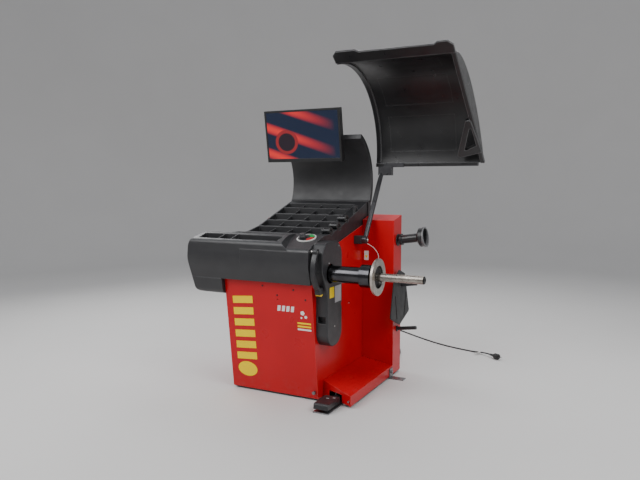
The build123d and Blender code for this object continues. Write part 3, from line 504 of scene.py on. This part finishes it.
def on_front(x, z):
    """A point on the leaning front panel."""
    share = (z - FRONT_FOOT[1]) / (FRONT_TOP[1] - FRONT_FOOT[1])
    return at(x, FRONT_FOOT[0] + share * (FRONT_TOP[0] - FRONT_FOOT[0]), z)


def sticker(name, places, point, normal, material, body="frame"):
    """A stuck-on film over (a, b) places, 0.3 mm thick."""
    corners = [point(*place) + normal * 0.0001 for place in places]
    return piece(name, lambda shape: plate(shape, corners, normal, 0.0003), material, body)


def front_graphics():
    """Generic graphics on the front panel: a row of leaning yellow bars, pale shapes and two labels."""
    yellow = plain("yellow_film", (0.95, 0.66, 0.0), (1.0, 0.71, 0.0), 0.5, 300, 0.05, 0.0,
                   Specular_IOR_Level=0.1)
    white = plain("white_film", (0.74, 0.74, 0.72), (0.80, 0.80, 0.78), 0.35, 300, 0.05, 0.0)
    left, right = -492, -364
    for number in range(6):
        low = 176 + 64 * number
        bar = ((left, low), (right, low + 10), (right, low + 50), (left, low + 40))
        sticker(f"yellow_bar_{number + 1}", bar, on_front, FRONT_NORMAL, yellow)
    badge = [(-430 + 62 * math.cos(turn), 124 + 42 * math.sin(turn))
             for turn in (math.tau * step / 40 for step in range(40))]
    sticker("yellow_badge", badge, on_front, FRONT_NORMAL, yellow)
    for number in range(4):
        x = -213 + 27 * number
        sticker(f"white_bar_{number + 1}", ((x, 478), (x + 18, 479), (x + 23, 509), (x + 5, 508)),
                on_front, FRONT_NORMAL, white)
    for number, (x, z, half) in enumerate(((-62, 478, 13), (-44, 458, 9), (-70, 452, 6)), 1):
        spot = [(x + half * math.cos(turn), z + half * math.sin(turn))
                for turn in (math.tau * step / 5 for step in range(5))]
        sticker(f"pale_mark_{number}", spot, on_front, FRONT_NORMAL, white)
    for number in range(3):
        z = 384 + 17 * number
        sticker(f"label_line_{number + 1}", ((-96, z), (-16, z), (-16, z + 9), (-96, z + 9)), on_front,
                FRONT_NORMAL, yellow if number else white)


COVER_FACE = 66
TOWER_FACE = 586


def on_cover(y, z):
    """A point on the shaft cover's outer face."""
    return at(COVER_FACE, y, z)


def on_tower(x, z):
    """A point on the tower's front face."""
    return at(x, TOWER_FACE, z)


def cover_labels():
    """Blank rating plate and yellow label on the shaft cover, and a label on the tower."""
    yellow = bpy.data.materials["yellow_film"]
    white = bpy.data.materials["white_film"]
    silver = plain("silver_film", (0.45, 0.45, 0.46), (0.55, 0.55, 0.56), 0.32, 300, 0.05, 0.0, Metallic=0.7)
    side = Vector((1, 0, 0))
    sticker("yellow_label", ((2, 556), (54, 556), (54, 612), (2, 612)), on_cover, side, yellow)
    sticker("rating_plate", ((64, 524), (140, 524), (140, 612), (64, 612)), on_cover, side, silver)
    front = Vector((0, -1, 0))
    sticker("tower_label", ((12, 690), (40, 690), (40, 745), (12, 745)), on_tower, front, white)
    sticker("tower_label_mark", ((26, 700), (36, 718), (16, 718)),
            lambda x, z: on_tower(x, z) + front * 0.0004, front, yellow)


def screw_head(name, centre, normal, radius, material, body="frame"):
    """A domed screw head with a round socket."""
    turn = normal.to_track_quat("Z", "Y").to_matrix().to_4x4()
    place = Matrix.Translation(centre) @ turn
    profile = ((0.30, 0.28), (0.42, 0.62), (0.70, 0.58), (0.92, 0.42), (1.0, 0.18), (1.0, 0.0))
    def make(shape):
        rings = []
        for share, height in profile:
            ring = []
            for step in range(24):
                angle = math.tau * step / 24
                spot = Vector((share * math.cos(angle), share * math.sin(angle), height)) * radius
                ring.append(shape.verts.new(place @ spot))
            rings.append(ring)
        for inner, outer in zip(rings, rings[1:]):
            for step in range(24):
                after = (step + 1) % 24
                shape.faces.new((inner[step], inner[after], outer[after], outer[step]))
        shape.faces.new(rings[0])
        shape.faces.new(list(reversed(rings[-1])))
    head = piece(name, make, material, body)
    for face in head.data.polygons:
        face.use_smooth = True
    return head


def panel_screws():
    """Screws in the front panel and on the shaft cover."""
    black = bpy.data.materials["tool_black"]
    bright = bpy.data.materials["bright_steel"]
    for number, (x, z) in enumerate(((-295, 608), (-108, 598), (-208, 563), (-40, 550)), 1):
        screw_head(f"panel_screw_{number}", on_front(x, z), FRONT_NORMAL, 0.005, black)
    side = Vector((1, 0, 0))
    for number, (y, z) in enumerate(((-8, 740), (110, 700), (60, 400), (110, 820)), 1):
        screw_head(f"cover_screw_{number}", on_cover(y, z), side, 0.0045, bright)
    pivot = joints["guard_swing"]["pos_m"]
    screw_head("pivot_bolt", Vector((at(74, 0, 0).x, pivot[1], pivot[2])), side, 0.011, bright, "guard")


def pedal_marks():
    """Two worn pale marks on the pedal's tread."""
    white = bpy.data.materials["white_film"]
    up = Vector((0, 0, 1))
    for number, (x, y) in enumerate(((76, -58), (104, -40)), 1):
        mark = ((x, y), (x + 14, y + 3), (x + 13, y + 7), (x + 1, y + 4))
        sticker(f"pedal_mark_{number}", mark, lambda a, b: at(a, b, 48), up, white, "brake_pedal")


# ---- light and floor
FLAT_REACH = 5.6
SWEEP = 2.4
WALL_TOP = 5.5
STAGE_SIDES = 96


def add_floor():
    """A round pale floor that curves up into a wall."""
    profile = [(3.0, 0.0), (FLAT_REACH, 0.0)]
    profile += [(FLAT_REACH + SWEEP * math.sin(turn), SWEEP - SWEEP * math.cos(turn))
                for turn in (math.radians(7.5 * step) for step in range(1, 13))]
    profile.append((FLAT_REACH + SWEEP, WALL_TOP))
    shape = bmesh.new()
    turns = [math.tau * step / STAGE_SIDES for step in range(STAGE_SIDES)]
    rings = [[shape.verts.new((reach * math.cos(turn), reach * math.sin(turn), height)) for turn in turns]
             for reach, height in profile]
    shape.faces.new(rings[0])
    for inner, outer in zip(rings, rings[1:]):
        for step in range(STAGE_SIDES):
            after = (step + 1) % STAGE_SIDES
            shape.faces.new((inner[step], outer[step], outer[after], inner[after])).smooth = True
    mesh = bpy.data.meshes.new("floor")
    shape.to_mesh(mesh)
    shape.free()
    mesh.materials.append(floor_concrete())
    floor = bpy.data.objects.new("floor", mesh)
    bpy.context.scene.collection.objects.link(floor)


def add_lights():
    """A pale sky and four large soft lights, each given by its place, width and power."""
    world = bpy.data.worlds.new("studio")
    world.use_nodes = True
    world.node_tree.nodes["Background"].inputs["Color"].default_value = (0.72, 0.75, 0.80, 1)
    world.node_tree.nodes["Background"].inputs["Strength"].default_value = 0.55
    bpy.context.scene.world = world
    target = Vector((0, 0, 0.9))
    lamps = (((-1.6, -2.6, 3.2), 2.4, 105), ((2.8, -1.4, 2.9), 2.0, 75), ((0.4, 2.0, 3.6), 2.6, 70),
             ((-3.0, 1.2, 2.4), 1.8, 40))
    for number, (place, width, power) in enumerate(lamps, 1):
        light = bpy.data.lights.new(f"softbox_{number}", "AREA")
        light.shape = "SQUARE"
        light.size = width
        light.energy = power
        holder = bpy.data.objects.new(f"softbox_{number}", light)
        holder.location = place
        holder.rotation_euler = (target - Vector(place)).to_track_quat("-Z", "Y").to_euler()
        bpy.context.scene.collection.objects.link(holder)


add_camera()
cord = add_cord()
finish_metals()
rubber = finish_mouldings()
finish_controls()
cord.data.materials.append(rubber)
front_graphics()
cover_labels()
panel_screws()
pedal_marks()
add_floor()
add_lights()
